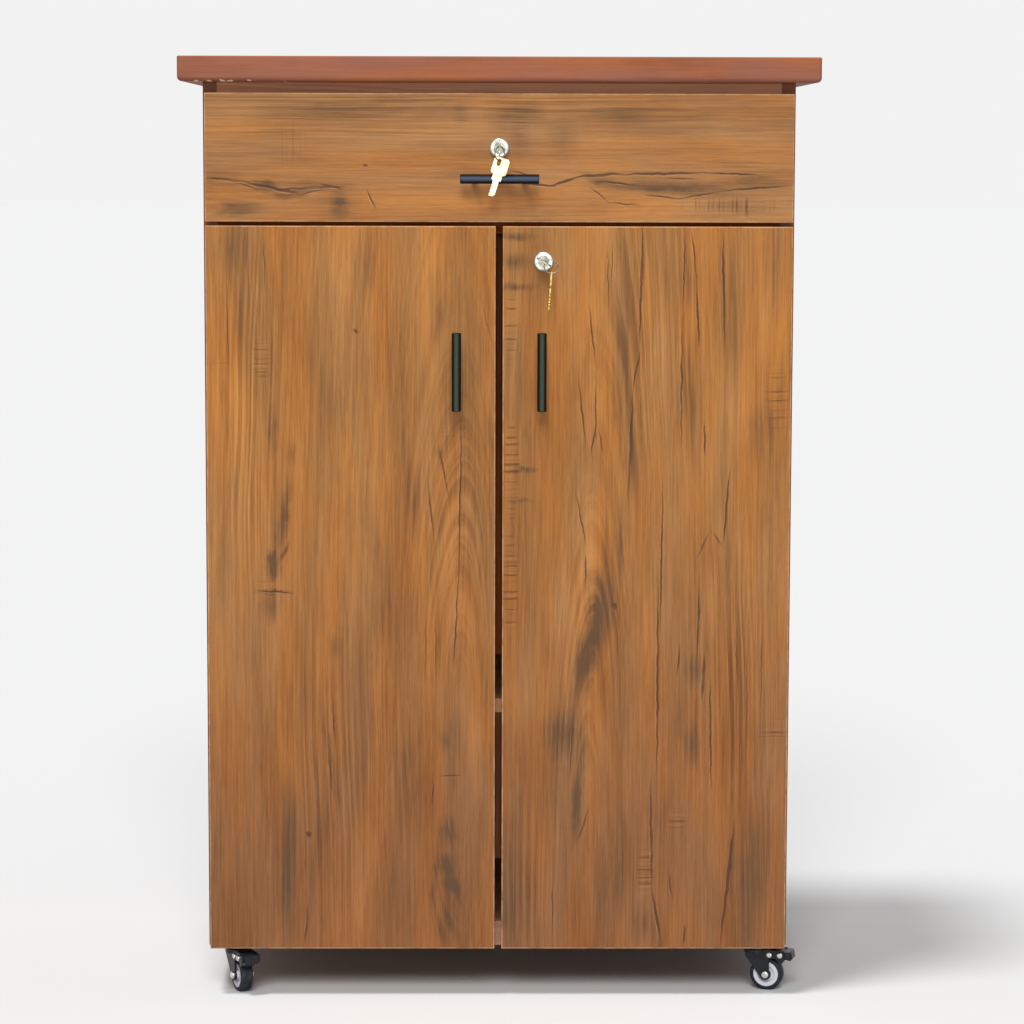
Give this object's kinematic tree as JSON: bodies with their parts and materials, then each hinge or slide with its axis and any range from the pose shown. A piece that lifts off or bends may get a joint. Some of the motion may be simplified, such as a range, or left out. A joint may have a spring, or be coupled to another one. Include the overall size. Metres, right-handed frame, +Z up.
{
  "type": "rolling storage cabinet",
  "caption": "Tall wood-grain cabinet on casters with a drawer over a pair of doors, an overhanging worktop, cam locks with keys and braked front wheels.",
  "frame": {"origin": "middle of the bounding box, on the floor that the casters stand on", "axes": "+Z up, -Y to the front (doors and drawer), +X to the right seen from the front"},
  "size_m": [0.816, 0.4594, 1.217],
  "materials": {
    "worktop_wood": "satin",
    "door_wood": "satin",
    "drawer_wood": "satin",
    "case_wood": "satin",
    "drawer_box_wood": "satin",
    "shelf_wood": "satin",
    "black_handle": "matt",
    "nickel": "polished",
    "key_steel": "brushed",
    "spare_key_metal": "bright",
    "zinc_steel": "zinc plated",
    "screw_steel": "zinc plated",
    "fork_plastic": "matt",
    "rim_plastic": "matt",
    "tyre_rubber": "matt",
    "pedal_plastic": "satin"
  },
  "bodies": {
    "cabinet": {"worktop": "worktop_wood", "side_panel_left": "case_wood", "side_panel_right": "case_wood", "bottom_panel": "case_wood", "base_rails": "case_wood", "divider_panel": "case_wood", "shelf": "shelf_wood", "shelf_pins": "zinc_steel", "back_panel": "case_wood", "top_rail_front": "case_wood", "top_rail_back": "case_wood", "slide_outer_members": "zinc_steel", "hinge_arms": "nickel", "cabinet_screws": "screw_steel", "caster_plates": "zinc_steel"},
    "slide_middle": {"slide_middle_members": "zinc_steel"},
    "drawer": {"drawer_front": "drawer_wood", "drawer_side_left": "drawer_box_wood", "drawer_side_right": "drawer_box_wood", "drawer_box_ends": "drawer_box_wood", "drawer_bottom": "drawer_box_wood", "slide_inner_members": "zinc_steel", "drawer_handle": "black_handle", "drawer_screws": "screw_steel", "drawer_lock_housing": "nickel"},
    "drawer_lock": {"drawer_lock_plug": "nickel", "drawer_key": "key_steel"},
    "drawer_ring": {"drawer_key_ring": "key_steel"},
    "drawer_spare": {"drawer_spare_key": "key_steel"},
    "left_door": {"left_door_panel": "door_wood", "left_hinge_cups": "nickel", "left_door_handle": "black_handle", "left_door_screws": "screw_steel"},
    "right_door": {"right_door_panel": "door_wood", "right_hinge_cups": "nickel", "right_door_handle": "black_handle", "right_door_screws": "screw_steel", "door_lock_housing": "nickel"},
    "door_lock": {"door_lock_plug": "nickel", "door_key": "key_steel"},
    "door_ring": {"door_key_ring": "key_steel"},
    "door_spare": {"door_spare_key": "spare_key_metal"},
    "caster_front_left": {"caster_fork_front_left": "fork_plastic", "caster_axle_front_left": "zinc_steel"},
    "wheel_front_left": {"caster_tyre_front_left": "tyre_rubber", "caster_rim_front_left": "rim_plastic"},
    "pedal_front_left": {"brake_pedal_front_left": "pedal_plastic"},
    "caster_front_right": {"caster_fork_front_right": "fork_plastic", "caster_axle_front_right": "zinc_steel"},
    "wheel_front_right": {"caster_tyre_front_right": "tyre_rubber", "caster_rim_front_right": "rim_plastic"},
    "pedal_front_right": {"brake_pedal_front_right": "pedal_plastic"},
    "caster_rear_left": {"caster_fork_rear_left": "fork_plastic", "caster_axle_rear_left": "zinc_steel"},
    "wheel_rear_left": {"caster_tyre_rear_left": "tyre_rubber", "caster_rim_rear_left": "rim_plastic"},
    "caster_rear_right": {"caster_fork_rear_right": "fork_plastic", "caster_axle_rear_right": "zinc_steel"},
    "wheel_rear_right": {"caster_tyre_rear_right": "tyre_rubber", "caster_rim_rear_right": "rim_plastic"}
  },
  "joints": [
    {"name": "drawer_slide", "type": "slide", "parent": "cabinet", "child": "drawer", "axis": [0, -1, 0], "range_m": [0, 0.3]},
    {"name": "slide_middle_travel", "type": "slide", "parent": "cabinet", "child": "slide_middle", "axis": [0, -1, 0], "range_m": [0, 0.15]},
    {"name": "drawer_lock_turn", "type": "hinge", "parent": "drawer", "child": "drawer_lock", "pos_m": [0, -0.19132, 1.102], "axis": [0, -1, 0], "range_deg": [0, 90]},
    {"name": "drawer_ring_swing", "type": "hinge", "parent": "drawer_lock", "child": "drawer_ring", "pos_m": [0, -0.22268, 1.104], "axis": [-0.7071, -0.7071, 0], "range_deg": [0, 30]},
    {"name": "drawer_spare_key_swing", "type": "hinge", "parent": "drawer_ring", "child": "drawer_spare", "pos_m": [0, -0.22268, 1.0864], "axis": [0, 1, 0], "range_deg": [-30, 5]},
    {"name": "left_door_hinge", "type": "hinge", "parent": "cabinet", "child": "left_door", "pos_m": [-0.368, -0.18332, 0.533], "axis": [0, 0, -1], "range_deg": [0, 95]},
    {"name": "right_door_hinge", "type": "hinge", "parent": "cabinet", "child": "right_door", "pos_m": [0.368, -0.18332, 0.533], "axis": [0, 0, 1], "range_deg": [0, 95]},
    {"name": "door_lock_turn", "type": "hinge", "parent": "right_door", "child": "door_lock", "pos_m": [0.0565, -0.19132, 0.9585], "axis": [0, -1, 0], "range_deg": [0, 90]},
    {"name": "door_ring_swing", "type": "hinge", "parent": "door_lock", "child": "door_ring", "pos_m": [0.05823, -0.22268, 0.9575], "axis": [-0.5, 0, -0.866], "range_deg": [0, 30]},
    {"name": "door_spare_key_swing", "type": "hinge", "parent": "door_ring", "child": "door_spare", "pos_m": [0.06585, -0.22268, 0.9443], "axis": [0, 1, 0], "range_deg": [-12, 12]},
    {"name": "caster_swivel_front_left", "type": "hinge", "parent": "cabinet", "child": "caster_front_left", "pos_m": [-0.342, -0.14933, 0.058], "axis": [0, 0, 1], "continuous": true},
    {"name": "wheel_spin_front_left", "type": "hinge", "parent": "caster_front_left", "child": "wheel_front_left", "pos_m": [-0.33608, -0.16201, 0.02175], "axis": [0.9063, 0.4226, 0], "continuous": true},
    {"name": "brake_pedal_front_left_press", "type": "hinge", "parent": "caster_front_left", "child": "pedal_front_left", "pos_m": [-0.32788, -0.1796, 0.0487], "axis": [0.9063, 0.4226, 0], "range_deg": [0, 8]},
    {"name": "caster_swivel_front_right", "type": "hinge", "parent": "cabinet", "child": "caster_front_right", "pos_m": [0.342, -0.14933, 0.058], "axis": [0, 0, 1], "continuous": true},
    {"name": "wheel_spin_front_right", "type": "hinge", "parent": "caster_front_right", "child": "wheel_front_right", "pos_m": [0.35539, -0.15342, 0.02175], "axis": [0.2924, 0.9563, 0], "continuous": true},
    {"name": "brake_pedal_front_right_press", "type": "hinge", "parent": "caster_front_right", "child": "pedal_front_right", "pos_m": [0.37394, -0.15909, 0.0487], "axis": [0.2924, 0.9563, 0], "range_deg": [0, 8]},
    {"name": "caster_swivel_rear_left", "type": "hinge", "parent": "cabinet", "child": "caster_rear_left", "pos_m": [-0.342, 0.20867, 0.058], "axis": [0, 0, 1], "continuous": true},
    {"name": "wheel_spin_rear_left", "type": "hinge", "parent": "caster_rear_left", "child": "wheel_rear_left", "pos_m": [-0.33127, 0.19968, 0.02175], "axis": [0.6428, 0.766, 0], "continuous": true},
    {"name": "caster_swivel_rear_right", "type": "hinge", "parent": "cabinet", "child": "caster_rear_right", "pos_m": [0.342, 0.20867, 0.058], "axis": [0, 0, 1], "continuous": true},
    {"name": "wheel_spin_rear_right", "type": "hinge", "parent": "caster_rear_right", "child": "wheel_rear_right", "pos_m": [0.35436, 0.2021, 0.02175], "axis": [0.4695, 0.8829, 0], "continuous": true}
  ],
  "couplings": [
    {"joint": "slide_middle_travel", "follows": "drawer_slide", "ratio": 0.5}
  ]
}
